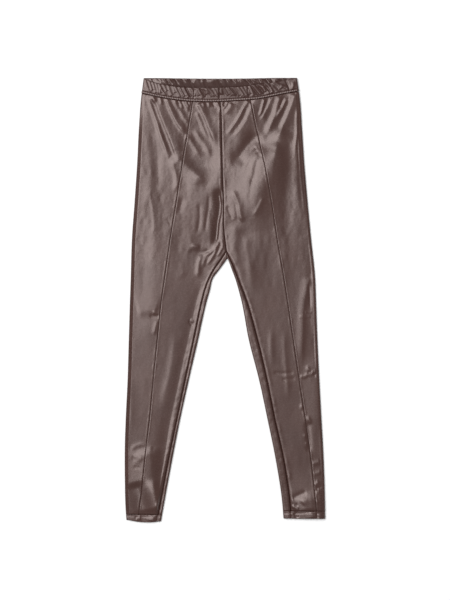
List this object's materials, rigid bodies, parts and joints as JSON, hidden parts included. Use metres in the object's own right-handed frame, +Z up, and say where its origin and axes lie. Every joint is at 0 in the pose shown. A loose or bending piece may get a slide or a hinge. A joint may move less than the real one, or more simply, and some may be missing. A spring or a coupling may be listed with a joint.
{
  "type": "leggings",
  "caption": "Pull-on leggings of coated leather-look stretch fabric, laid flat, with an elastic gathered waistband and seamed front panels.",
  "frame": {"origin": "centre of the bounding box, on the surface that the leggings lie on", "axes": "+Y towards the waist, +Z up out of the front, +X towards the wearer's left"},
  "size_m": [0.421, 0.933, 0.0092],
  "materials": {
    "coated_fabric": "satin polyurethane-coated stretch knit with a fine grain",
    "coated_waistband": "the same coated knit, gathered over elastic"
  },
  "bodies": {
    "root": {"front_side_right": "coated_fabric", "front_centre_right": "coated_fabric", "front_centre_left": "coated_fabric", "front_side_left": "coated_fabric", "back_right": "coated_fabric", "back_left": "coated_fabric", "hem_right": "coated_fabric", "hem_left": "coated_fabric", "waistband_front": "coated_waistband", "waistband_back": "coated_waistband"}
  },
  "joints": []
}
